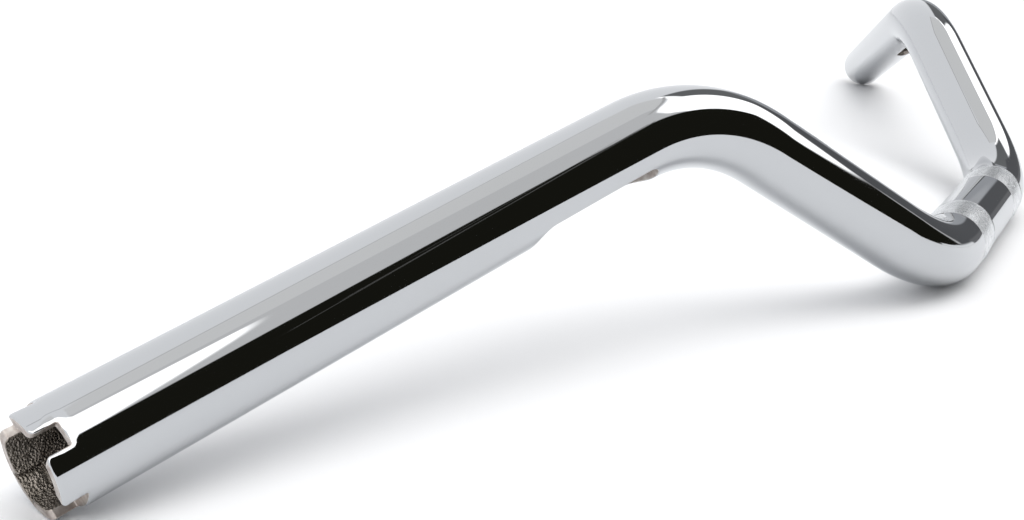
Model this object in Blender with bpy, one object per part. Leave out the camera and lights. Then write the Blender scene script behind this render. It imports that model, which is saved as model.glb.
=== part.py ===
"""A bent one-inch motorcycle handlebar: one swept tube with two knurled clamp sleeves.

Metres, +Z up. The bar lies flat, as on a bench, with +X towards the notched throttle end
and +Y to the front. On a motorcycle it is turned RIDE_TURN about X from here, which lifts the
grips. Pieces are modelled about the tube's axis, midway between the clamp sleeves; the
handlebar empty then moves the origin to the tube's side that faces the risers.
"""

from math import ceil, cos, pi, radians, sin, tan

import bmesh
import bpy
from mathutils import Matrix, Vector

MM = 0.001

# Tube
TUBE_RADIUS = 12.7 * MM
WALL = 2.4 * MM
BORE_RADIUS = TUBE_RADIUS - WALL
SIDES = 36
SIDE_ANGLE = 2 * pi / SIDES
RIDE_TURN = radians(46.8)
RISER_TURN = pi - RIDE_TURN

# Centreline of the right half: its corners, before the two bends round them
CLAMP_CORNER = Vector((80, 0, 0)) * MM
GRIP_CORNER = Vector((178, -64.5, 60.5)) * MM
BAR_END = Vector((387, -132.5, -0.5)) * MM
LOWER_BEND_RADIUS = 73 * MM
UPPER_BEND_RADIUS = 78 * MM
BEND_STEP = radians(5)

# Knurled sleeves, each in a shallow turned seat on the clamping section
SLEEVE_SPACING = 78 * MM
SLEEVE_WIDTH = 24 * MM
SLEEVE_RADIUS = 12.8 * MM
SLEEVE_WALL = 0.7 * MM
SLEEVE_GAP = 0.3 * MM
SEAT_RADIUS = SLEEVE_RADIUS - SLEEVE_WALL - SLEEVE_GAP
SEAT_ALLOWANCE = 2 * MM

# Throttle end: a single notch, and a wider pair cut straight across the tube. The single
# notch's cutter runs on into the far wall's inside and leaves a recess there
SINGLE_NOTCH_WIDTH = 5.7 * MM
SINGLE_NOTCH_TURN = radians(41)
PAIR_NOTCH_WIDTH = 10.3 * MM
PAIR_NOTCH_TURN = radians(136.6)
NOTCH_DEPTH = 6.2 * MM
TOOTH_CORNER = 1.3 * MM
RECESS_DEPTH = 0.8 * MM
MOUTH_ALLOWANCE = 2 * MM

# Wiring openings, with full-round ends
SLOT_WIDTH = 14 * MM
SLOT_TURN = radians(145)
SLOT_INNER_END = 198.2 * MM
RIGHT_SLOT_LENGTH = 54 * MM
LEFT_SLOT_LENGTH = 46 * MM
EXIT_LENGTH = 32 * MM
EXIT_TURN = pi
ARC_STEPS = 8
CUTTER_REACH = 20 * MM

SHARP_ANGLE = radians(30)
X_AXIS = Vector((1, 0, 0))
Z_AXIS = Vector((0, 0, 1))


def clear_scene():
    for thing in list(bpy.data.objects):
        bpy.data.objects.remove(thing)


def metal(name, colour, roughness):
    material = bpy.data.materials.new(name)
    material.use_nodes = True
    shader = material.node_tree.nodes["Principled BSDF"]
    shader.inputs["Base Color"].default_value = (*colour, 1)
    shader.inputs["Metallic"].default_value = 1
    shader.inputs["Roughness"].default_value = roughness
    return material


def chrome():
    return metal("chrome", (0.83, 0.84, 0.87), 0.05)


def knurled_chrome():
    return metal("knurled_chrome", (0.78, 0.79, 0.80), 0.35)


def add_object(name, bm, material=None):
    """Turns the bmesh into a named object, shaded smooth across all but its sharp edges."""
    bmesh.ops.recalc_face_normals(bm, faces=bm.faces)
    mesh = bpy.data.meshes.new(name)
    bm.to_mesh(mesh)
    bm.free()
    mesh.shade_smooth()
    mesh.set_sharp_from_angle(angle=SHARP_ANGLE)
    if material:
        mesh.materials.append(material)
    thing = bpy.data.objects.new(name, mesh)
    bpy.context.collection.objects.link(thing)
    return thing


def around_x(radius, turn, x=0.0):
    """A point about the X axis, turned from straight up towards the front."""
    return Vector((x, radius * sin(turn), radius * cos(turn)))


def elements(geometry, kind):
    return [item for item in geometry if isinstance(item, kind)]


# Tube bending: each step moves the tube's open end on and returns the new end faces

def ring_face(bm, radius, bore, x=0.0):
    """A flat ring of faces about the X axis, with one of its sides square to the risers."""
    loops = []
    for distance in (radius, bore):
        turns = [RISER_TURN + (side + 0.5) * SIDE_ANGLE for side in range(SIDES)]
        loops.append([bm.verts.new(around_x(distance, turn, x)) for turn in turns])
    outer, inner = loops
    return [bm.faces.new((outer[side - 1], outer[side], inner[side], inner[side - 1]))
            for side in range(SIDES)]


def open_up(bm, faces):
    """Removes the faces that a step left inside the tube, or across the middle."""
    left = [face for face in faces if face.is_valid]
    bmesh.ops.delete(bm, geom=left, context="FACES")


def run_straight(bm, end, travel):
    grown = bmesh.ops.extrude_face_region(bm, geom=end)["geom"]
    bmesh.ops.translate(bm, verts=elements(grown, bmesh.types.BMVert), vec=travel)
    open_up(bm, end)
    return elements(grown, bmesh.types.BMFace)


def bend_setback(before, after, radius):
    """How far before its corner a bend starts."""
    return radius * tan(before.angle(after) / 2)


def run_bend(bm, end, corner, before, after, radius):
    """Turns the end faces round the corner, from one unit direction to the next."""
    angle = before.angle(after)
    towards_centre = (after - before * cos(angle)).normalized()
    centre = corner - before * bend_setback(before, after, radius) + towards_centre * radius
    turned = bmesh.ops.spin(
        bm, geom=end, cent=centre, axis=before.cross(after).normalized(),
        angle=angle, steps=ceil(angle / BEND_STEP))
    open_up(bm, end)
    return elements(turned["geom_last"], bmesh.types.BMFace)


def centreline_directions():
    rise = (GRIP_CORNER - CLAMP_CORNER).normalized()
    grip = (BAR_END - GRIP_CORNER).normalized()
    return rise, grip


def sweep_right_half(bm):
    """Sweeps the tube's wall from the middle, which stays open, to the right end."""
    rise, grip = centreline_directions()
    lower_setback = bend_setback(X_AXIS, rise, LOWER_BEND_RADIUS)
    upper_setback = bend_setback(rise, grip, UPPER_BEND_RADIUS)
    rise_length = (GRIP_CORNER - CLAMP_CORNER).length - lower_setback - upper_setback
    grip_length = (BAR_END - GRIP_CORNER).length - upper_setback

    middle = ring_face(bm, TUBE_RADIUS, BORE_RADIUS)
    end = run_straight(bm, middle, X_AXIS * (CLAMP_CORNER.x - lower_setback))
    end = run_bend(bm, end, CLAMP_CORNER, X_AXIS, rise, LOWER_BEND_RADIUS)
    end = run_straight(bm, end, rise * rise_length)
    end = run_bend(bm, end, GRIP_CORNER, rise, grip, UPPER_BEND_RADIUS)
    run_straight(bm, end, grip * grip_length)


def ring_body(name, radius, bore, width, material=None):
    """A ring about the X axis, centred on its object's origin."""
    bm = bmesh.new()
    back = ring_face(bm, radius, bore, -width / 2)
    grown = bmesh.ops.extrude_face_region(bm, geom=back, use_keep_orig=True)["geom"]
    bmesh.ops.translate(bm, verts=elements(grown, bmesh.types.BMVert), vec=X_AXIS * width)
    return add_object(name, bm, material)


# Cutters

def mark_cutter(cutter):
    cutter.hide_render = True
    cutter.display_type = "WIRE"
    return cutter


def prism_cutter(name, outline, place):
    """Extrudes a flat outline along Z, between its low and high ends."""
    points, (low, high) = outline
    bm = bmesh.new()
    face = bm.faces.new([bm.verts.new((x, y, low)) for x, y in points])
    grown = bmesh.ops.extrude_face_region(bm, geom=[face])["geom"]
    bmesh.ops.translate(bm, verts=elements(grown, bmesh.types.BMVert), vec=(0, 0, high - low))
    cutter = add_object(name, bm)
    cutter.matrix_world = place
    return mark_cutter(cutter)


def arc(centre, radius, start, end):
    """Points round an arc, from one angle to another."""
    angles = [start + (end - start) * step / ARC_STEPS for step in range(ARC_STEPS + 1)]
    return [(centre[0] + radius * cos(angle), centre[1] + radius * sin(angle)) for angle in angles]


def obround(length):
    """A slot's outline along X, cut from the tube's axis outwards."""
    end = (length - SLOT_WIDTH) / 2
    right = arc((end, 0), SLOT_WIDTH / 2, -pi / 2, pi / 2)
    left = arc((-end, 0), SLOT_WIDTH / 2, pi / 2, 3 * pi / 2)
    return right + left, (0, CUTTER_REACH)


def notch_outline(width, reach):
    """A notch along X from the bar's end at 0, flared so that it rounds the teeth's corners.

    It cuts from outside the tube down to reach beyond the tube's axis.
    """
    side = width / 2
    flare = side + TOOTH_CORNER
    upper = [(-NOTCH_DEPTH, side)] + arc((-TOOTH_CORNER, flare), TOOTH_CORNER, 3 * pi / 2, 2 * pi)
    upper.append((MOUTH_ALLOWANCE, flare))
    lower = [(x, -y) for x, y in reversed(upper)]
    return upper + lower, (-reach, CUTTER_REACH)


def facing(origin, along, turn):
    """A place on the tube: X along the tube and Z out of it, turned from up towards the front."""
    upward = (Z_AXIS - along * along.z).normalized()
    sideways = upward.cross(along) if along.x > 0 else along.cross(upward)
    outward = upward * cos(turn) + sideways * sin(turn)
    axes = Matrix((along, outward.cross(along), outward)).transposed()
    return Matrix.Translation(origin) @ axes.to_4x4()


def bar_end(side):
    """The end of the tube and its outward direction, on the right (1) or the left (-1)."""
    _, grip = centreline_directions()
    mirror = Vector((side, 1, 1))
    return BAR_END * mirror, grip * mirror


def slot_cutter(name, side, length):
    end, outward = bar_end(side)
    middle = end - outward * (SLOT_INNER_END - length / 2)
    return prism_cutter(name, obround(length), facing(middle, outward, SLOT_TURN))


def exit_cutter():
    return prism_cutter("exit_cutter", obround(EXIT_LENGTH), facing(Vector(), X_AXIS, EXIT_TURN))


def notch_cutters():
    end, outward = bar_end(1)
    single = notch_outline(SINGLE_NOTCH_WIDTH, BORE_RADIUS + RECESS_DEPTH)
    pair = notch_outline(PAIR_NOTCH_WIDTH, CUTTER_REACH)
    return [prism_cutter("single_notch_cutter", single, facing(end, outward, SINGLE_NOTCH_TURN)),
            prism_cutter("notch_pair_cutter", pair, facing(end, outward, PAIR_NOTCH_TURN))]


def seat_cutter(name, side):
    width = SLEEVE_WIDTH + 2 * SLEEVE_GAP
    cutter = ring_body(name, TUBE_RADIUS + SEAT_ALLOWANCE, SEAT_RADIUS, width)
    cutter.location.x = side * SLEEVE_SPACING / 2
    return mark_cutter(cutter)


def cut(thing, cutter):
    boolean = thing.modifiers.new(cutter.name, "BOOLEAN")
    boolean.operation = "DIFFERENCE"
    boolean.solver = "EXACT"
    boolean.object = cutter


# Sub-parts

def bar_tube():
    bm = bmesh.new()
    sweep_right_half(bm)
    tube = add_object("bar_tube", bm, chrome())
    mirror = tube.modifiers.new("left_half", "MIRROR")
    mirror.merge_threshold = 0.01 * MM
    cut(tube, seat_cutter("right_seat_cutter", 1))
    cut(tube, seat_cutter("left_seat_cutter", -1))
    for cutter in notch_cutters():
        cut(tube, cutter)
    cut(tube, slot_cutter("right_slot_cutter", 1, RIGHT_SLOT_LENGTH))
    cut(tube, slot_cutter("left_slot_cutter", -1, LEFT_SLOT_LENGTH))
    cut(tube, exit_cutter())


def clamp_sleeve(name, side, material):
    sleeve = ring_body(name, SLEEVE_RADIUS, SLEEVE_RADIUS - SLEEVE_WALL, SLEEVE_WIDTH, material)
    sleeve.location.x = side * SLEEVE_SPACING / 2


def move_origin_to_riser_side():
    """Parents everything to an empty, which puts the origin on a flat side of the tube."""
    handlebar = bpy.data.objects.new("handlebar", None)
    side_distance = TUBE_RADIUS * cos(SIDE_ANGLE / 2)
    handlebar.location = -around_x(side_distance, RISER_TURN)
    for thing in list(bpy.data.objects):
        if thing != handlebar:
            thing.parent = handlebar
    bpy.context.collection.objects.link(handlebar)


def build():
    clear_scene()
    knurl = knurled_chrome()
    bar_tube()
    clamp_sleeve("clamp_sleeve_right", 1, knurl)
    clamp_sleeve("clamp_sleeve_left", -1, knurl)
    move_origin_to_riser_side()


build()
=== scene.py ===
"""The looks of the chromed handlebar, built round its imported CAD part.

Metres, in the part's own frame: the bar lies flat on a pale floor, +X towards the notched
throttle end. One smooth skin stands for the faceted bar_tube and two real knurls for the
clamp sleeves. Chrome is what it reflects, so the studio's panels are placed with care.
"""

from collections import namedtuple
from math import asin, atan2, ceil, cos, pi, radians, sin, tan

import bpy
import numpy as np
from mathutils import Matrix, Vector
from mathutils.geometry import delaunay_2d_cdt


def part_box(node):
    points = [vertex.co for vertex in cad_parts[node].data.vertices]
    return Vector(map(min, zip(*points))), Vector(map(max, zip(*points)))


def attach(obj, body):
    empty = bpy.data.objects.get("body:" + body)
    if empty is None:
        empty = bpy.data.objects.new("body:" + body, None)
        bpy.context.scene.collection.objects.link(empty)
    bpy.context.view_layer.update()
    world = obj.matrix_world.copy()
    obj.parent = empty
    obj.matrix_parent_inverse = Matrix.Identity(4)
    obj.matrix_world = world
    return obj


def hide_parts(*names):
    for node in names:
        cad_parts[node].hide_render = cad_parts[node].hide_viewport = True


MM = 0.001

# Tube, as in the CAD part
TUBE_RADIUS = 12.7 * MM
BORE_RADIUS = 10.3 * MM
CLAMP_CORNER = Vector((80, 0, 0)) * MM
GRIP_CORNER = Vector((178, -64.5, 60.5)) * MM
BAR_END = Vector((387, -132.5, -0.5)) * MM
LOWER_BEND_RADIUS = 73 * MM
UPPER_BEND_RADIUS = 78 * MM
BEND_STEP = 2 * MM
COLUMNS = 144
WELD_SCALE = 1e7

# Edges rolled over by polishing: how far along the surface, and how deep
EDGE_DEPTH = 0.45 * MM
NOTCH_SIDE_ROLL = 1.5 * MM
NOTCH_FLOOR_ROLL = 1.1 * MM
CORNER_ROLL = 0.8 * MM
SINGLE_CORNER_EXTRA = 2.2 * MM
PAIR_CORNER_EXTRA = 0.8 * MM
CORNER_EXTRA_REACH = 3 * MM
END_ROLL = 0.6 * MM
SLOT_ROLL = 0.4 * MM
BORE_EDGE = 0.2 * MM
EDGE_STEPS = 8
PLATED_STEPS = 6
BORE_EDGE_STEPS = 3

# Walls filled up to an opening: how near it the grid may come, and the triangulation's limit
OUTLINE_MARGIN = 0.45 * MM
PATCH_LIMIT = 1e-9

# Throttle notches, and the recess that the single notch's cutter leaves in the bore
SINGLE_HALF_WIDTH = 2.85 * MM
SINGLE_TURN = radians(41)
PAIR_HALF_WIDTH = 5.15 * MM
PAIR_TURN = radians(136.6)
NOTCH_DEPTH = 6.2 * MM
NOTCH_CORNER = 0.4 * MM
TOOTH_CORNER = 1.3 * MM
RECESS_HEIGHT = 11.1 * MM
RECESS_EASE = 0.15 * MM
RECESS_CURVE = 0.3
END_PATCH = 14 * MM
END_ROWS = 16
FLOOR_STEPS = 8
NOTCH_CORNER_STEPS = 4
NOTCH_SIDE_STEPS = 12
TOOTH_CORNER_STEPS = 8
RIM_STEPS = 12

# Wiring openings
SLOT_HALF_WIDTH = 7 * MM
SLOT_TURN = radians(145)
SLOT_INNER_END = 198.2 * MM
RIGHT_SLOT_LENGTH = 54 * MM
LEFT_SLOT_LENGTH = 46 * MM
EXIT_LENGTH = 32 * MM
EXIT_TURN = pi
SLOT_MARGIN = 4 * MM
SLOT_SIDE_STEP = 2 * MM
SLOT_END_STEPS = 16
SLOT_SQUEEZE = 0.3

# Seats of the sleeves, and their knurl
SEAT_CLEARANCE = 0.12 * MM
SEAT_RADIUS = 11.9 * MM
SEAT_EDGE = 0.12 * MM
SEAT_EDGE_STEPS = 3
SLEEVE_BORE = 12.0 * MM
KNURL_CREST = 13.0 * MM
CROWN = 0.4 * MM
GROOVE_DEPTH = 0.18 * MM
SHOULDER_DROP = 0.05 * MM
SHOULDER_WIDTH = 0.7 * MM
SLEEVE_EDGE = 0.15 * MM
DIAMONDS_ROUND = 88
DIAMOND_ROWS = 17
DIAMOND_TOP = 0.8

SHARP_ANGLE = radians(20)

# Colours, as light or as reflectance
CHROME_COLOUR = (0.600, 0.607, 0.620)
CHROME_WARMER = (0.592, 0.600, 0.610)
KNURL_COLOUR = (0.93, 0.94, 0.95)
KNURL_SHADE = (0.74, 0.75, 0.76)
CUT_COLOUR = (0.72, 0.68, 0.64)
CUT_STAIN = (0.36, 0.30, 0.27)
BORE_COLOUR = (0.100, 0.088, 0.070)
BORE_SCALE = (0.48, 0.43, 0.38)
FLOOR_COLOUR = (0.86, 0.86, 0.865)
FLOOR_SHADE = (0.84, 0.84, 0.845)
# Painted shade: the floor's colour as seen only in the chrome, darker than the floor itself
PAINTED_FLOOR_SHADE_IN_CHROME = (0.725, 0.735, 0.75)
BACKDROP_LIGHT = (0.94, 0.94, 0.945)
WALL_LIGHT = (0.97, 0.985, 1.01)
CEILING_LIGHT = (0.85, 0.855, 0.855)
CORNER_LIGHT = (0.73, 0.735, 0.74)
SEAM_LIGHT = (0.55, 0.55, 0.55)
SOFTBOX_LIGHT = (2.1, 2.1, 2.1)
HALF_LIGHT = (0.37, 0.385, 0.41)
LOW_LIGHT = (0.17, 0.176, 0.18)
DIM_LIGHT = (0.11, 0.113, 0.12)
SILL_LIGHT = (0.17, 0.172, 0.18)
STREAK_LIGHT = (0.13, 0.13, 0.125)
BLACK_LIGHT = (0.011, 0.011, 0.008)

# Panels round the bar, painted in this order: light, blur, and corners (azimuth, elevation)
# in degrees, anticlockwise as seen from the bar. Azimuth runs from +X towards +Y. A panel is
# what lies on the inner side of all its edges, so an inward corner only trims it
PANELS = (
    (CEILING_LIGHT, 0.008, ((153, 57), (153, 89), (240, 89), (240, 66), (203, 49.5), (180, 47))),
    (CORNER_LIGHT, 0.012, ((84, 44), (70, 89), (153, 89), (153, 57), (150, 40), (125, 38))),
    (SEAM_LIGHT, 0.006, ((203, 49), (203, 50.2), (250, 68), (250, 66.6))),
    (SOFTBOX_LIGHT, 0.012, ((128, 16), (130, 46), (139, 54), (148, 55.3), (176, 48.6), (176, 38),
                            (168.5, 14.5))),
    (SOFTBOX_LIGHT, 0.012, ((174, 37), (174, 49), (190, 46), (184, 43.5))),
    (SOFTBOX_LIGHT, 0.015, ((-30, 45), (-41, 67), (123, 76), (104, 68), (84, 50), (40, 44))),
    (SEAM_LIGHT, 0.006, ((140, 56.6), (140, 57.8), (184, 47.2), (184, 45.8))),
    (BLACK_LIGHT, 0.012, ((45, -5), (45, 53), (90, 56), (105, 52), (125, 44), (147, 33),
                          (131, 17))),
    (BLACK_LIGHT, 0.012, ((45, -5), (45, 17), (131, 17), (131, -5))),
    (BLACK_LIGHT, 0.012, ((125, 2), (125, 17), (148, 17), (148, 2))),
    (SOFTBOX_LIGHT, 0.012, ((40, 17), (30, 60), (87, 58), (87, 56), (50, 17))),
    (LOW_LIGHT, 0.02, ((172, 14), (172, 45), (188, 45), (190, 14))),
    (HALF_LIGHT, 0.02, ((172, 2), (172, 14), (190.5, 14), (191.5, 2))),
    (DIM_LIGHT, 0.02, ((147, 2), (147, 16.5), (177, 24), (177, 2))),
    (SILL_LIGHT, 0.012, ((158, -1.5), (158, 4), (176, 4), (176, -1.5))),
    (SEAM_LIGHT, 0.01, ((147.5, 3), (147.5, 16), (150, 16), (150, 3))),
    (STREAK_LIGHT, 0.004, ((95, 30.5), (95, 31.3), (121, 46.8), (121, 46.2))),
    (STREAK_LIGHT, 0.004, ((98, 34.5), (98, 35.3), (122, 45.6), (122, 45.0))),
    (STREAK_LIGHT, 0.003, ((103, 41.5), (103, 41.9), (120, 48.2), (120, 47.8))),
)

# Studio and camera
FLOOR_REACH = 6
FLOOR_ROUGHNESS = 0.7
FLAG_ACROSS = (-110, 520)
FLAG_UP = (17, 95)
FLAG_FORWARD = 150
OVERHEAD_POWER = 14
OVERHEAD_SIZE = 1.6
OVERHEAD_PLACE = (0.1, 0.3, 1.9)
CAMERA_PLACE = Vector((591.7, 69.5, 139.4)) * MM
CAMERA_LOOK = (-153.81, -14.97)
CAMERA_ROLL = radians(4.91)
CAMERA_LENS = 49.84
CAMERA_SHIFT = (0.0269, -0.0572)
CAMERA_CLIP = (0.01, 50)

X_AXIS = Vector((1, 0, 0))
Y_AXIS = Vector((0, 1, 0))
Z_AXIS = Vector((0, 0, 1))
QUARTER = pi / 2
CHROME, CUT, BORE = range(3)

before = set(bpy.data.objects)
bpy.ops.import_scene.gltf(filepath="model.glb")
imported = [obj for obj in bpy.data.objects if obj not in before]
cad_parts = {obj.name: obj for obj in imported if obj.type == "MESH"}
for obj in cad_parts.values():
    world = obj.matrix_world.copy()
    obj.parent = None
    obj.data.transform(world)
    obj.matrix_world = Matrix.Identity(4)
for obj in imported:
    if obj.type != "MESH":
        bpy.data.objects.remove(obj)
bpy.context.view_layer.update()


# Where things are, from the frame

def middle_of(node):
    low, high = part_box(node)
    return (Vector(low) + Vector(high)) / 2


RIGHT_SLEEVE = middle_of("clamp_sleeve_right")
LEFT_SLEEVE = middle_of("clamp_sleeve_left")
TUBE_AXIS = (RIGHT_SLEEVE + LEFT_SLEEVE) / 2
SLEEVE_OFFSET = (RIGHT_SLEEVE - LEFT_SLEEVE).x / 2
SLEEVE_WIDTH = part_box("clamp_sleeve_right")[1][0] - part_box("clamp_sleeve_right")[0][0]
FLOOR_HEIGHT = TUBE_AXIS.z - TUBE_RADIUS


# A skin collects places with exact normals, so that chrome reflects without facets

class Skin:
    def __init__(self):
        self.side = 1
        self.index = {}
        self.places = []
        self.normals = []
        self.faces = []
        self.materials = []

    def point(self, place, normal):
        """Adds a point, mirrored when side is -1, or finds the one already there."""
        place = (place[0] * self.side, place[1], place[2])
        key = tuple(round(value * WELD_SCALE) for value in place)
        if key not in self.index:
            self.index[key] = len(self.places)
            self.places.append(place)
            self.normals.append((normal[0] * self.side, normal[1], normal[2]))
        return self.index[key]

    def loop(self, points):
        return [self.point(place, normal) for place, normal in points]

    def face(self, corners, material, flip=False):
        corners = list(dict.fromkeys(corners))
        if len(corners) < 3:
            return
        if flip == (self.side < 0):
            corners.reverse()
        self.faces.append(corners)
        self.materials.append(material)

    def strip(self, first, second, material, flip=False):
        """Joins two closed loops of points with quads."""
        for number in range(len(first)):
            corners = (first[number - 1], first[number], second[number], second[number - 1])
            self.face(corners, material, flip)

    def build(self, name, materials):
        mesh = bpy.data.meshes.new(name)
        mesh.from_pydata(self.places, [], self.faces)
        for material in materials:
            mesh.materials.append(material)
        mesh.polygons.foreach_set("material_index", self.materials)
        mesh.shade_smooth()
        mesh.normals_split_custom_set_from_vertices(self.normals)
        return add_object(name, mesh)


def add_object(name, mesh):
    thing = bpy.data.objects.new(name, mesh)
    bpy.context.collection.objects.link(thing)
    return thing


# The tube's line. A station on it is a centre with three directions: sideways, upward, ahead

def carried(station, distance):
    centre, sideways, upward, ahead = station
    return centre + ahead * distance, sideways, upward, ahead


def swung(station, after, radius, distance):
    """A station some way round the bend that leads to the direction after."""
    centre, sideways, upward, ahead = station
    inward = (after - ahead * ahead.dot(after)).normalized()
    spin = Matrix.Rotation(distance / radius, 3, ahead.cross(after))
    pivot = centre + inward * radius
    return pivot + spin @ (centre - pivot), spin @ sideways, spin @ upward, spin @ ahead


def right_half_line():
    """The stretches from the middle to the right end: (length, function to a station on it)."""
    rise = (GRIP_CORNER - CLAMP_CORNER).normalized()
    grip = (BAR_END - GRIP_CORNER).normalized()
    lower_setback = LOWER_BEND_RADIUS * tan(X_AXIS.angle(rise) / 2)
    upper_setback = UPPER_BEND_RADIUS * tan(rise.angle(grip) / 2)
    lengths = (
        CLAMP_CORNER.x - lower_setback,
        LOWER_BEND_RADIUS * X_AXIS.angle(rise),
        (GRIP_CORNER - CLAMP_CORNER).length - lower_setback - upper_setback,
        UPPER_BEND_RADIUS * rise.angle(grip),
        (BAR_END - GRIP_CORNER).length - upper_setback)
    bends = (None, (rise, LOWER_BEND_RADIUS), None, (grip, UPPER_BEND_RADIUS), None)
    station = TUBE_AXIS, Y_AXIS, Z_AXIS, X_AXIS
    start = 0
    line = []
    for length, bend in zip(lengths, bends):
        line.append((start, station, bend))
        station = station_on(station, bend, length)
        start += length
    return line, start


def station_on(station, bend, distance):
    return swung(station, *bend, distance) if bend else carried(station, distance)


LINE, LINE_LENGTH = right_half_line()
STARTS = [start for start, _, _ in LINE]


def station_at(distance):
    """The station at a distance from the middle, along the right half."""
    start, station, bend = [run for run in LINE if run[0] <= max(distance, 0)][-1]
    return station_on(station, bend, distance - start)


def swept_turn(distance, turn):
    """A turn measured from straight up, as a turn of the station at that distance."""
    _, sideways, upward, ahead = station_at(distance)
    level_up = (Z_AXIS - ahead * ahead.z).normalized()
    outward = level_up * cos(turn) + level_up.cross(ahead) * sin(turn)
    return atan2(outward.dot(sideways), outward.dot(upward))


SINGLE_SWEPT_TURN = swept_turn(LINE_LENGTH, SINGLE_TURN)
SLOT_SWEPT_TURN = swept_turn(LINE_LENGTH, SLOT_TURN)
PAIR_STEP = PAIR_TURN - SINGLE_TURN
FIRST_COLUMN = SINGLE_SWEPT_TURN - (pi - PAIR_STEP) / 2


def column_turn(column):
    return FIRST_COLUMN + 2 * pi * column / COLUMNS


def round_tube(distance, radius, turn):
    """A place on the tube and its outward normal. Turns run from upward to sideways."""
    centre, sideways, upward, _ = station_at(distance)
    outward = upward * cos(turn) + sideways * sin(turn)
    return centre + outward * radius, outward


# Plain wall

def ring(skin, distance, radius, tilt=0.0, inward=False):
    """A ring of points round the tube; tilt leans its normals ahead."""
    ahead = station_at(distance)[3]
    points = []
    for column in range(COLUMNS):
        place, outward = round_tube(distance, radius, column_turn(column))
        normal = outward * cos(tilt) + ahead * sin(tilt)
        points.append((place, -normal if inward else normal))
    return skin.loop(points)


def plain_wall(skin, distances, radius, inward=False):
    rings = [ring(skin, distance, radius, inward=inward) for distance in distances]
    for first, second in zip(rings, rings[1:]):
        skin.strip(first, second, BORE if inward else CHROME, flip=inward)


def steps_between(start, end):
    """Distances from start to end: none between on straight runs, and close ones round bends."""
    cuts = [start] + [cut for cut in STARTS if start < cut < end] + [end]
    distances = [start]
    for low, high in zip(cuts, cuts[1:]):
        bend = [run for run in LINE if run[0] <= low][-1][2]
        steps = ceil((high - low) / BEND_STEP) if bend else 1
        distances += [low + (high - low) * step / steps for step in range(1, steps + 1)]
    return distances


# Openings. Normals on an outline point out of the metal; across is measured straight across
# the opening from its middle at turn, and share moves a point on towards the turn of a
# tooth's middle, counted from there too.

Edge = namedtuple("Edge", "turn across along normal_across normal_along roll share tooth",
                  defaults=(0, 0))


def edge_spot(edge, inset, radius):
    """Where an outline's point is on the tube, moved into the metal by inset."""
    across = edge.across - edge.normal_across * inset
    along = edge.along - edge.normal_along * inset
    turn = asin(across / radius)
    return edge.turn + turn + (edge.tooth - turn) * edge.share, along


def wall_normal(edge):
    _, sideways, upward, ahead = station_at(edge.along)
    across = sideways * cos(edge.turn) - upward * sin(edge.turn)
    return across * edge.normal_across + ahead * edge.normal_along


def rolled_edge(skin, outline):
    """Rings that roll the chrome over an opening's edge, from the tube's surface to its wall."""
    rings = []
    for step in range(EDGE_STEPS + 1):
        angle = QUARTER * step / EDGE_STEPS
        points = []
        for edge in outline:
            depth = min(EDGE_DEPTH, edge.roll)
            radius = TUBE_RADIUS - depth * (1 - cos(angle))
            turn, along = edge_spot(edge, edge.roll * (1 - sin(angle)), radius)
            place, outward = round_tube(along, radius, turn)
            normal = outward * (edge.roll * cos(angle)) + wall_normal(edge) * (depth * sin(angle))
            points.append((place, normal.normalized()))
        rings.append(skin.loop(points))
    return rings


def bore_edge(skin, outline):
    """Rings that ease the wall of an opening into the bore."""
    rings = []
    for step in range(BORE_EDGE_STEPS + 1):
        angle = QUARTER * step / BORE_EDGE_STEPS
        radius = BORE_RADIUS + BORE_EDGE * (1 - sin(angle))
        points = []
        for edge in outline:
            turn, along = edge_spot(edge, BORE_EDGE * (1 - cos(angle)), radius)
            place, outward = round_tube(along, radius, turn)
            normal = wall_normal(edge) * cos(angle) - outward * sin(angle)
            points.append((place, normal.normalized()))
        rings.append(skin.loop(points))
    return rings


def join(skin, rings, material):
    for first, second in zip(rings, rings[1:]):
        skin.strip(first, second, material)


def plated_edge(skin, outline):
    """The rolled edge, chromed most of the way. Returns its last ring."""
    rings = rolled_edge(skin, outline)
    join(skin, rings[:PLATED_STEPS + 1], CHROME)
    join(skin, rings[PLATED_STEPS:], CUT)
    return rings[-1]


def eased_opening(skin, outline):
    """An opening's whole edge, from the tube's surface through its wall to the bore."""
    join(skin, [plated_edge(skin, outline)] + bore_edge(skin, outline), CUT)


def inside(points, polygon):
    """Which points lie inside a closed polygon, by counting crossings."""
    x, y = np.asarray(points, float).reshape(-1, 2).T
    found = np.zeros(len(x), bool)
    previous = polygon[-1]
    for corner in polygon:
        (x1, y1), (x2, y2) = previous, corner
        if y1 != y2:
            crossing = (x2 - x1) * (y - y1) / (y2 - y1) + x1
            found ^= ((y1 > y) != (y2 > y)) & (x < crossing)
        previous = corner
    return found


def nearest(points, polygon):
    points = np.asarray(points, float).reshape(-1, 1, 2)
    return np.linalg.norm(points - np.asarray(polygon, float)[None], axis=2).min(axis=1)


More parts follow.
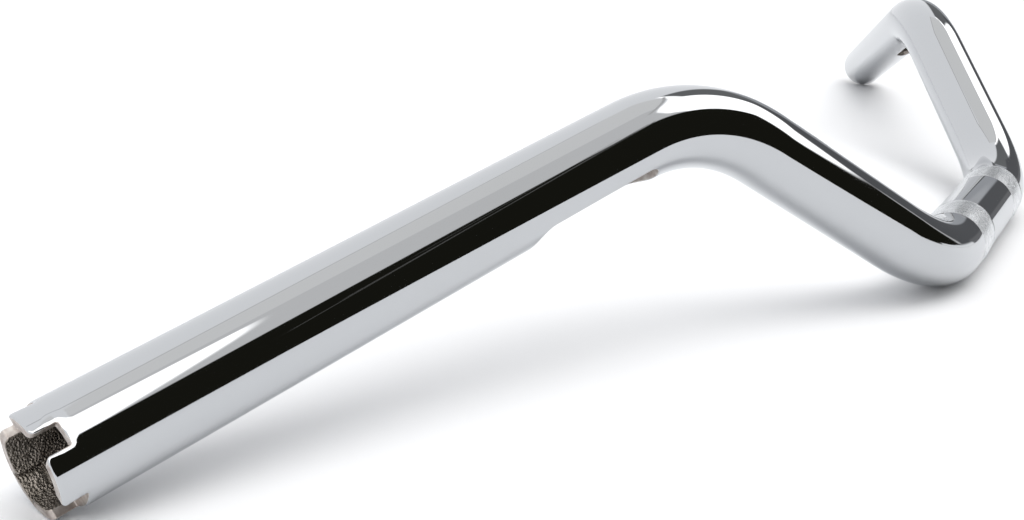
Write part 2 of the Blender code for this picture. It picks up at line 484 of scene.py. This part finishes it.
def patch(skin, radius, rows, first_column, opening, beyond=(), squeeze=1.0, inward=False):
    """Fills the wall over the rows round an opening, a list of (turn, along).

    beyond holds the points that close the opening past the tube's end. The first row, and
    the last where nothing lies beyond, keep all their points, because rings join on there.
    squeeze shortens the tube while it's triangulated, which stretches the triangles along it.
    """
    def flat(turn, along):
        return turn * radius, along * squeeze

    def true_size(turn, along):
        return turn * radius, along

    gone = list(opening) + list(beyond)
    kept_rows = rows[:1] if beyond else (rows[0], rows[-1])
    grid = [(column_turn(first_column + column), along)
            for along in rows for column in range(COLUMNS + 1)]
    spots = [true_size(*point) for point in grid]
    hole = [true_size(*point) for point in gone]
    clear = ~inside(spots, hole) & (nearest(spots, hole) > OUTLINE_MARGIN)
    points = [point for point, free in zip(grid, clear)
              if free or point[1] in kept_rows]
    start = len(points)
    points += opening
    last = len(opening) - 1 if beyond else len(opening)
    edges = [(start + number, start + (number + 1) % len(opening)) for number in range(last)]
    flats = [Vector(flat(*point)) for point in points]
    places, _, triangles, origins, _, _ = delaunay_2d_cdt(flats, edges, [], 0, PATCH_LIMIT)
    corners = []
    for origin in origins:
        turn, along = points[origin[0]]
        place, outward = round_tube(along, radius, turn)
        corners.append(skin.point(place, -outward if inward else outward))
    centres = [[sum(places[corner][axis] for corner in triangle) / 3 for axis in (0, 1)]
               for triangle in triangles]
    cut_away = inside(centres, [flat(*point) for point in gone])
    for triangle, away in zip(triangles, cut_away):
        if not away:
            skin.face([corners[corner] for corner in triangle], BORE if inward else CHROME, inward)


def arc_steps(count):
    return [QUARTER * step / count for step in range(count + 1)]


def spread(low, high, count):
    """Numbers evenly between low and high, without either."""
    return [low + (high - low) * step / (count + 1) for step in range(1, count + 1)]


# Wiring slots, anticlockwise in turn and along

def slot_outline(turn, middle, length):
    half = length / 2 - SLOT_HALF_WIDTH
    side_points = round(length / SLOT_SIDE_STEP)
    edges = []
    for sign, first_angle in ((1, 0), (-1, pi)):
        for step in range(SLOT_END_STEPS + 1):
            angle = first_angle + pi * step / SLOT_END_STEPS
            across, along = cos(angle), sin(angle)
            edges.append(Edge(turn, SLOT_HALF_WIDTH * across,
                              middle + sign * half + SLOT_HALF_WIDTH * along,
                              -across, -along, SLOT_ROLL))
        for along in spread(sign * half, -sign * half, side_points):
            edges.append(Edge(turn, -sign * SLOT_HALF_WIDTH, middle + along, sign, 0, SLOT_ROLL))
    return edges


def slot(skin, turn, middle, length):
    """Cuts a slot and fills the walls about it. Returns where those walls start and end."""
    outline = slot_outline(turn, middle, length)
    low, high = middle - length / 2 - SLOT_MARGIN, middle + length / 2 + SLOT_MARGIN
    count = ceil((high - low) / BEND_STEP)
    rows = [low + (high - low) * row / count for row in range(count + 1)]
    opposite = round((turn - pi - FIRST_COLUMN) * COLUMNS / (2 * pi))
    outer = [edge_spot(edge, edge.roll, TUBE_RADIUS) for edge in outline]
    bore = [edge_spot(edge, BORE_EDGE, BORE_RADIUS) for edge in outline]
    patch(skin, TUBE_RADIUS, rows, opposite, outer, squeeze=SLOT_SQUEEZE)
    patch(skin, BORE_RADIUS, rows, opposite, bore, squeeze=SLOT_SQUEEZE, inward=True)
    eased_opening(skin, outline)
    return low, high


# The throttle end: a single notch, a wider pair across the tube, and a recess opposite the
# single one. A profile's points are (across, depth, normal across, normal along, roll, share)

def worn_roll(roll, extra, distance):
    """The polishing rolls the corners of a notch's floor over further out."""
    return roll + extra * max(0, 1 - (distance / CORNER_EXTRA_REACH) ** 2) ** 2


def half_notch(half_width, extra):
    """A profile from beside the notch's middle nearly to its tooth's middle."""
    floor = half_width - NOTCH_CORNER
    wall = NOTCH_DEPTH - NOTCH_CORNER
    mouth = half_width + TOOTH_CORNER
    points = [(across, NOTCH_DEPTH, 0, 1, worn_roll(NOTCH_FLOOR_ROLL, extra, floor - across), 0)
              for across in spread(0, floor, FLOOR_STEPS)]
    for angle in arc_steps(NOTCH_CORNER_STEPS):
        roll = NOTCH_FLOOR_ROLL + (NOTCH_SIDE_ROLL - NOTCH_FLOOR_ROLL) * angle / QUARTER
        points.append((floor + NOTCH_CORNER * sin(angle), wall + NOTCH_CORNER * cos(angle),
                       -sin(angle), cos(angle), worn_roll(roll, extra, 0), 0))
    for share in spread(0, 1, NOTCH_SIDE_STEPS):
        depth = wall + (TOOTH_CORNER - wall) * share
        roll = NOTCH_SIDE_ROLL + (CORNER_ROLL - NOTCH_SIDE_ROLL) * share ** 2
        points.append((half_width, depth, -1, 0, worn_roll(roll, extra, wall - depth), 0))
    for angle in arc_steps(TOOTH_CORNER_STEPS):
        roll = CORNER_ROLL + (END_ROLL - CORNER_ROLL) * angle / QUARTER
        points.append((mouth - TOOTH_CORNER * cos(angle), TOOTH_CORNER * (1 - sin(angle)),
                       -cos(angle), sin(angle), roll, 0))
    for share in spread(0, 1, RIM_STEPS):
        points.append((mouth, 0, 0, 1, END_ROLL, share))
    return points


def notch_profile(half_width, extra):
    """A notch from tooth to tooth, ending on a tooth's middle."""
    right = half_notch(half_width, extra)
    middle = (0, NOTCH_DEPTH, 0, 1, NOTCH_FLOOR_ROLL, 0)
    tooth_middle = (right[-1][0], 0, 0, 1, END_ROLL, 1)
    left = [(-across, depth, -normal_across, normal_along, roll, share)
            for across, depth, normal_across, normal_along, roll, share in reversed(right)]
    return left + [middle] + right + [tooth_middle]


def filled_profile(notch):
    """A plain rim in a notch's place, with as many points."""
    open_part = [number for number, point in enumerate(notch) if point[-1] == 0]
    first, last = open_part[0], open_part[-1]
    mouth = notch[last][0]
    rim = [(mouth * (2 * (number - first) / (last - first) - 1), 0, 0, 1, END_ROLL, 0)
           for number in open_part]
    return notch[:first] + rim + notch[last + 1:]


def end_outline(profiles):
    """The throttle end's edge, once round, from the first column."""
    steps = (0, PAIR_STEP, pi, PAIR_STEP + pi, 2 * pi)
    edges = []
    for number, profile in enumerate(profiles):
        after = (steps[number + 1] - steps[number]) / 2
        for across, depth, *rest in profile:
            tooth = after if across > 0 else after - QUARTER
            edges.append(Edge(SINGLE_SWEPT_TURN + steps[number], across, LINE_LENGTH - depth,
                              *rest, tooth))
    return edges


def recess_spot(edge, across, along, height):
    centre, sideways, upward, _ = station_at(along)
    outward = upward * cos(edge.turn) + sideways * sin(edge.turn)
    aside = sideways * cos(edge.turn) - upward * sin(edge.turn)
    return centre + outward * height + aside * across, outward


def recess_rings(skin, rim, outline):
    """Rings over the recess, from the rim to its side walls. Elsewhere they all run together."""
    rings = [[], [], [], [], []]
    for rim_edge, edge in zip(rim, outline):
        if rim_edge == edge:
            radius = BORE_RADIUS + BORE_EDGE
            turn, along = edge_spot(edge, 0, radius)
            place, _ = round_tube(along, radius, turn)
            points = [(place, wall_normal(edge))] * len(rings)
        else:
            depth = LINE_LENGTH - edge.along
            back = min(RECESS_EASE, depth / 2)
            inset = -min(RECESS_EASE, depth / 4)
            across = edge.across - edge.normal_across * inset
            along = edge.along - edge.normal_along * inset
            wall, ahead = wall_normal(edge), wall_normal(rim_edge)
            spots = ((rim_edge.across, rim_edge.along, RECESS_EASE),
                     (rim_edge.across, rim_edge.along - back * RECESS_CURVE,
                      RECESS_EASE * RECESS_CURVE),
                     (rim_edge.across, rim_edge.along - back, 0),
                     (across, along, 0),
                     (edge.across, edge.along, -RECESS_EASE))
            leans = ((ahead, 0), (ahead, 1), (ahead * 0, 1), (ahead * 0, 1), (wall, 0))
            points = []
            for (spot_across, spot_along, rise), (facing, inward) in zip(spots, leans):
                place, outward = recess_spot(edge, spot_across, spot_along, RECESS_HEIGHT + rise)
                points.append((place, (facing - outward * inward).normalized()))
        for ring_points, point in zip(rings, points):
            ring_points.append(point)
    return [skin.loop(points) for points in rings]


def throttle_end(skin):
    """Cuts the notches and fills the walls up to them. Returns where those walls start."""
    single = notch_profile(SINGLE_HALF_WIDTH, SINGLE_CORNER_EXTRA)
    wide = notch_profile(PAIR_HALF_WIDTH, PAIR_CORNER_EXTRA)
    rim = end_outline((single, wide, filled_profile(single), wide))
    outline = end_outline((single, wide, single, wide))
    start = LINE_LENGTH - END_PATCH
    rows = [start + (END_PATCH - END_ROLL) * row / END_ROWS for row in range(END_ROWS)]
    outer = [edge_spot(edge, edge.roll, TUBE_RADIUS) for edge in rim]
    bore = [edge_spot(edge, BORE_EDGE, BORE_RADIUS) for edge in outline]
    for radius, opening, inward in ((TUBE_RADIUS, outer, False), (BORE_RADIUS, bore, True)):
        last_turn, last_along = opening[-1]
        opening.insert(0, (last_turn - 2 * pi, last_along))
        past = LINE_LENGTH + END_PATCH
        beyond = [(opening[-1][0], past), (opening[0][0], past)]
        patch(skin, radius, rows, 0, opening, beyond, inward=inward)
    recess = recess_rings(skin, rim, outline)
    join(skin, [plated_edge(skin, rim), recess[0]], CUT)
    join(skin, recess + bore_edge(skin, outline), BORE)
    return start


def plain_end(skin):
    outline = [Edge(column_turn(column), 0, LINE_LENGTH, 0, 1, END_ROLL)
               for column in range(COLUMNS)]
    eased_opening(skin, outline)
    return LINE_LENGTH - END_ROLL, LINE_LENGTH - BORE_EDGE


def half_bar(skin, side, start, slot_length):
    """The bar from the clamping section's edge out to one end."""
    skin.side = side
    low, high = slot(skin, SLOT_SWEPT_TURN, LINE_LENGTH - SLOT_INNER_END + slot_length / 2,
                     slot_length)
    if side > 0:
        outer_end = bore_end = throttle_end(skin)
    else:
        outer_end, bore_end = plain_end(skin)
    plain_wall(skin, steps_between(start, low), TUBE_RADIUS)
    plain_wall(skin, steps_between(start, low), BORE_RADIUS, inward=True)
    plain_wall(skin, (high, outer_end), TUBE_RADIUS)
    plain_wall(skin, (high, bore_end), BORE_RADIUS, inward=True)
    skin.side = 1


def seat(skin, middle):
    """A shallow turned groove for a sleeve. Returns where it starts and ends."""
    half = SLEEVE_WIDTH / 2 + SEAT_CLEARANCE
    rings = []
    for sign in (-1, 1):
        edge = middle + sign * half
        corner = []
        for angle in arc_steps(SEAT_EDGE_STEPS):
            corner.append(ring(skin, edge + sign * SEAT_EDGE * (1 - sin(angle)),
                               TUBE_RADIUS - SEAT_EDGE * (1 - cos(angle)), tilt=-sign * angle))
        for angle in arc_steps(SEAT_EDGE_STEPS):
            corner.append(ring(skin, edge - sign * SEAT_EDGE * (1 - cos(angle)),
                               SEAT_RADIUS + SEAT_EDGE * (1 - sin(angle)),
                               tilt=-sign * (QUARTER - angle)))
        rings += corner if sign < 0 else corner[::-1]
    for first, second in zip(rings, rings[1:]):
        skin.strip(first, second, CHROME)
    return middle - half - SEAT_EDGE, middle + half + SEAT_EDGE


def clamping_section(skin, half_length):
    _, exit_high = slot(skin, EXIT_TURN, 0, EXIT_LENGTH)
    for middle in (-SLEEVE_OFFSET, SLEEVE_OFFSET):
        seat_low, seat_high = seat(skin, middle)
    # The walls beside the right seat, and the same mirrored
    for side in (-1, 1):
        skin.side = side
        plain_wall(skin, (exit_high, seat_low), TUBE_RADIUS)
        plain_wall(skin, (seat_high, half_length), TUBE_RADIUS)
        plain_wall(skin, (exit_high, half_length), BORE_RADIUS, inward=True)


def handlebar_tube():
    skin = Skin()
    half_length = STARTS[1]
    clamping_section(skin, half_length)
    half_bar(skin, 1, half_length, RIGHT_SLOT_LENGTH)
    half_bar(skin, -1, half_length, LEFT_SLOT_LENGTH)
    tube = skin.build("handlebar_tube", [chrome(), cut_metal(), bore_metal()])
    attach(tube, "root")
    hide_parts("bar_tube")


# Knurled sleeves: crossing grooves leave flat-topped diamonds on a slightly crowned band

def crowned(along, depth):
    return KNURL_CREST - CROWN * (2 * along / SLEEVE_WIDTH) ** 2 - depth


def sleeve_point(along, radius, column):
    turn = pi * column / DIAMONDS_ROUND
    return along, radius * sin(turn), radius * cos(turn)


def diamond(groove_corners, middle):
    """A diamond's flat top, from its groove crossings and its middle (along, column)."""
    corners = []
    for along, column in groove_corners:
        top_along = middle[0] + (along - middle[0]) * DIAMOND_TOP
        top_column = middle[1] + (column - middle[1]) * DIAMOND_TOP
        corners.append(sleeve_point(top_along, crowned(top_along, 0), top_column))
    return corners


def knurled_sleeve(name, node, middle, material):
    half = SLEEVE_WIDTH / 2
    knurl_half = half - SHOULDER_WIDTH
    rows, columns = 2 * DIAMOND_ROWS, 2 * DIAMONDS_ROUND
    alongs = [-knurl_half + 2 * knurl_half * row / rows for row in range(rows + 1)]
    grooves = [(along, crowned(along, GROOVE_DEPTH)) for along in alongs]
    shoulder = crowned(knurl_half, SHOULDER_DROP)
    grooves[0], grooves[-1] = (-knurl_half, shoulder), (knurl_half, shoulder)
    side = [(half - SLEEVE_EDGE, shoulder), (half, shoulder - SLEEVE_EDGE), (half, SLEEVE_BORE)]
    rings = grooves + side + [(-along, radius) for along, radius in reversed(side)]
    index = {}
    places = []
    faces = []

    def node_at(row, column):
        key = row, column % columns
        if key not in index:
            index[key] = len(places)
            places.append(sleeve_point(*rings[row], key[1]))
        return index[key]

    for number in range(rows, len(rings)):
        there = (number + 1) % len(rings)
        faces += [(node_at(number, column + 1), node_at(number, column),
                   node_at(there, column), node_at(there, column + 1))
                  for column in range(columns)]
    for row in range(rows + 1):
        for column in range(row % 2, columns, 2):
            if row in (0, rows):
                inner = node_at(1 if row == 0 else rows - 1, column)
                before, here, after = (node_at(row, column + step) for step in (-1, 0, 1))
                pair = [(before, here, inner), (here, after, inner)]
                faces += pair if row else [triangle[::-1] for triangle in pair]
                continue
            around = ((row - 1, column), (row, column + 1), (row + 1, column), (row, column - 1))
            spots = [(alongs[spot_row], spot_column) for spot_row, spot_column in around]
            low = [node_at(*spot) for spot in around]
            top = [len(places) + corner for corner in range(4)]
            places += diamond(spots, (alongs[row], column))
            faces.append(tuple(reversed(top)))
            faces += [(low[corner], low[corner - 1], top[corner - 1], top[corner])
                      for corner in range(4)]
    mesh = bpy.data.meshes.new(name)
    mesh.from_pydata(places, [], faces)
    mesh.materials.append(material)
    mesh.shade_smooth()
    mesh.set_sharp_from_angle(angle=SHARP_ANGLE)
    sleeve = add_object(name, mesh)
    sleeve.location = middle
    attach(sleeve, "root")
    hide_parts(node)


# Materials. Noise scales are the number of blotches to a metre

def add_node(tree, kind, inputs=None, **settings):
    """Adds a shader node. An input may be a value or another node's output."""
    node = tree.nodes.new(kind)
    for name, value in settings.items():
        setattr(node, name, value)
    for name, value in (inputs or {}).items():
        if isinstance(value, bpy.types.NodeSocket):
            tree.links.new(value, node.inputs[name])
        else:
            node.inputs[name].default_value = value
    return node


def new_material(name):
    material = bpy.data.materials.new(name)
    material.use_nodes = True
    tree = material.node_tree
    place = add_node(tree, "ShaderNodeTexCoord").outputs["Object"]
    return material, tree, tree.nodes["Principled BSDF"], place


def noise(tree, place, scale, detail=4.0, roughness=0.5):
    return add_node(tree, "ShaderNodeTexNoise",
                    {"Vector": place, "Scale": scale, "Detail": detail,
                     "Roughness": roughness}).outputs["Fac"]


def ranged(tree, value, low, high, start=0.3, end=0.7):
    """Maps a noise's usual span onto low to high."""
    return add_node(tree, "ShaderNodeMapRange",
                    {"Value": value, "From Min": start, "From Max": end,
                     "To Min": low, "To Max": high}).outputs["Result"]


def mixed(tree, share, first, second):
    """A colour between two others."""
    node = add_node(tree, "ShaderNodeMix", data_type="RGBA")
    for socket, value in zip((node.inputs[0], node.inputs[6], node.inputs[7]),
                             (share, first, second)):
        if isinstance(value, bpy.types.NodeSocket):
            tree.links.new(value, socket)
        elif isinstance(value, (int, float)):
            socket.default_value = value
        else:
            socket.default_value = (*value, 1)
    return node.outputs[2]


def bumped(tree, height, distance):
    return add_node(tree, "ShaderNodeBump", {"Height": height, "Distance": distance,
                                             "Strength": 1}).outputs["Normal"]


def connect(tree, shader, **sockets):
    """Sets a shader's inputs, named in lower case, to values or other nodes' outputs."""
    for name, value in sockets.items():
        name = name.replace("_", " ").title().replace("Ior", "IOR")
        if isinstance(value, bpy.types.NodeSocket):
            tree.links.new(value, shader.inputs[name])
        else:
            shader.inputs[name].default_value = value


def chrome():
    """Mirror plating: a faint haze that comes and goes, and the buffing's slight waviness."""
    material, tree, shader, place = new_material("chrome")
    haze = ranged(tree, noise(tree, place, scale=35), low=0.025, high=0.06)
    warmth = ranged(tree, noise(tree, place, scale=18), low=0, high=1)
    waves = noise(tree, place, scale=90, detail=2)
    connect(tree, shader, base_color=mixed(tree, warmth, CHROME_COLOUR, CHROME_WARMER),
            metallic=1, roughness=haze, normal=bumped(tree, waves, distance=0.004 * MM))
    return material


def knurl_metal():
    """Plated knurl: paler and more satin than the tube, with the cutter's fine marks."""
    material, tree, shader, place = new_material("knurled_chrome")
    marks = noise(tree, place, scale=2500, detail=3)
    shade = ranged(tree, noise(tree, place, scale=300), low=0, high=1)
    connect(tree, shader, base_color=mixed(tree, shade, KNURL_COLOUR, KNURL_SHADE), metallic=1,
            roughness=ranged(tree, marks, low=0.2, high=0.36),
            normal=bumped(tree, marks, distance=0.01 * MM))
    return material


def cut_metal():
    """The sawn and milled wall of the tube: satin, slightly warm, with stains and tool marks."""
    material, tree, shader, place = new_material("cut_edge")
    stretched = add_node(tree, "ShaderNodeMapping",
                         {"Vector": place, "Scale": (1, 1, 6)}).outputs["Vector"]
    marks = noise(tree, stretched, scale=900, detail=3)
    stain = ranged(tree, noise(tree, place, scale=350), low=0, high=1)
    connect(tree, shader, base_color=mixed(tree, stain, CUT_COLOUR, CUT_STAIN), metallic=0.85,
            roughness=ranged(tree, marks, low=0.3, high=0.5),
            normal=bumped(tree, marks, distance=0.02 * MM))
    return material


def bore_metal():
    """The unplated bore: dark scale with crystals that catch the light."""
    material, tree, shader, place = new_material("bore")
    grains = add_node(tree, "ShaderNodeTexVoronoi", {"Vector": place, "Scale": 1800})
    scale = noise(tree, place, scale=260, detail=6, roughness=0.7)
    rough_patch = noise(tree, place, scale=70, detail=2)
    height = add_node(tree, "ShaderNodeMath",
                      {0: grains.outputs["Distance"],
                       1: ranged(tree, rough_patch, low=0.35, high=1)},
                      operation="MULTIPLY").outputs[0]
    coarse = add_node(tree, "ShaderNodeMath", {0: height, 1: scale}, operation="ADD").outputs[0]
    tone = mixed(tree, ranged(tree, scale, low=0, high=1), BORE_COLOUR, BORE_SCALE)
    connect(tree, shader, base_color=tone, metallic=0.9,
            roughness=ranged(tree, rough_patch, low=0.18, high=0.4),
            normal=bumped(tree, coarse, distance=0.35 * MM))
    return material


def floor_material():
    """Pale paper, darker in the chrome by painted shade, so that the bar's underside keeps its
    shape.
    """
    material, tree, shader, place = new_material("pale_floor")
    shade = ranged(tree, noise(tree, place, scale=3), low=0, high=1)
    tone = mixed(tree, shade, FLOOR_COLOUR, FLOOR_SHADE)
    # Painted shade: glossy rays see the floor darker than the camera does
    mirrored = add_node(tree, "ShaderNodeLightPath").outputs["Is Glossy Ray"]
    connect(tree, shader, base_color=mixed(tree, mirrored, tone, PAINTED_FLOOR_SHADE_IN_CHROME),
            roughness=FLOOR_ROUGHNESS)
    return material


# Studio

def direction(azimuth, elevation):
    azimuth, elevation = radians(azimuth), radians(elevation)
    return Vector((cos(azimuth) * cos(elevation), sin(azimuth) * cos(elevation), sin(elevation)))


def panel_mask(tree, towards, corners, blur):
    """1 where a direction lies on the inner side of all the panel's edges, and 0 elsewhere."""
    mask = None
    directions = [direction(*corner) for corner in corners]
    for number, corner in enumerate(directions):
        edge = corner.cross(directions[number - 1]).normalized()
        beyond = add_node(tree, "ShaderNodeVectorMath", {0: towards, 1: edge},
                          operation="DOT_PRODUCT").outputs["Value"]
        share = add_node(tree, "ShaderNodeMapRange",
                         {"Value": beyond, "From Min": -blur, "From Max": blur},
                         interpolation_type="SMOOTHSTEP").outputs["Result"]
        if mask:
            share = add_node(tree, "ShaderNodeMath", {0: mask, 1: share},
                             operation="MULTIPLY").outputs[0]
        mask = share
    return mask


def studio_world():
    """Pale walls with brighter and darker panels, out of the camera's own sight."""
    world = bpy.data.worlds.new("studio")
    bpy.context.scene.world = world
    world.use_nodes = True
    tree = world.node_tree
    towards = add_node(tree, "ShaderNodeTexCoord").outputs["Generated"]
    colour = add_node(tree, "ShaderNodeRGB").outputs[0]
    colour.default_value = (*WALL_LIGHT, 1)
    for panel_colour, blur, corners in PANELS:
        colour = mixed(tree, panel_mask(tree, towards, corners, blur), colour, panel_colour)
    seen = add_node(tree, "ShaderNodeLightPath").outputs["Is Camera Ray"]
    background = tree.nodes["Background"]
    tree.links.new(mixed(tree, seen, colour, BACKDROP_LIGHT), background.inputs["Color"])


def rectangle(name, corners, material):
    mesh = bpy.data.meshes.new(name)
    mesh.from_pydata(corners, [], [range(len(corners))])
    mesh.materials.append(material)
    thing = add_object(name, mesh)
    return thing


def floor():
    reach = FLOOR_REACH
    corners = [(-reach, -reach, FLOOR_HEIGHT), (reach, -reach, FLOOR_HEIGHT),
               (reach, reach, FLOOR_HEIGHT), (-reach, reach, FLOOR_HEIGHT)]
    rectangle("floor", corners, floor_material())


def black_flag():
    """A black card in front of the bar, seen only in the chrome."""
    material, tree, shader, _ = new_material("black_card")
    connect(tree, shader, base_color=(0, 0, 0, 1), emission_color=(*BLACK_LIGHT, 1),
            emission_strength=1, roughness=1, specular_ior_level=0)
    (left, right), (low, high) = FLAG_ACROSS, FLAG_UP
    corners = [TUBE_AXIS + Vector(corner) * MM for corner in (
        (left, FLAG_FORWARD, low), (right, FLAG_FORWARD, low),
        (right, FLAG_FORWARD, high), (left, FLAG_FORWARD, high))]
    flag = rectangle("black_card", corners, material)
    for ray in ("camera", "diffuse", "shadow", "transmission", "volume_scatter"):
        setattr(flag, f"visible_{ray}", False)


def overhead_light():
    """A wide soft light for the floor, left out of the chrome, which has its own panels."""
    light = bpy.data.lights.new("overhead", "AREA")
    light.shape = "DISK"
    light.size = OVERHEAD_SIZE
    light.energy = OVERHEAD_POWER
    lamp = bpy.data.objects.new("overhead", light)
    lamp.location = OVERHEAD_PLACE
    lamp.visible_glossy = False
    bpy.context.collection.objects.link(lamp)


def camera():
    lens = bpy.data.cameras.new("camera")
    lens.lens = CAMERA_LENS
    lens.shift_x, lens.shift_y = CAMERA_SHIFT
    lens.clip_start, lens.clip_end = CAMERA_CLIP
    eye = bpy.data.objects.new("camera", lens)
    look = direction(*CAMERA_LOOK)
    sideways = look.cross(Z_AXIS).normalized()
    upright = Matrix((sideways, sideways.cross(look), -look)).transposed()
    roll = Matrix.Rotation(-CAMERA_ROLL, 3, look)
    eye.matrix_world = Matrix.Translation(TUBE_AXIS + CAMERA_PLACE) @ (roll @ upright).to_4x4()
    bpy.context.collection.objects.link(eye)
    bpy.context.scene.camera = eye


handlebar_tube()
knurl = knurl_metal()
knurled_sleeve("knurl_right", "clamp_sleeve_right", RIGHT_SLEEVE, knurl)
knurled_sleeve("knurl_left", "clamp_sleeve_left", LEFT_SLEEVE, knurl)
floor()
black_flag()
studio_world()
overhead_light()
camera()
bpy.context.scene.view_settings.view_transform = "Standard"
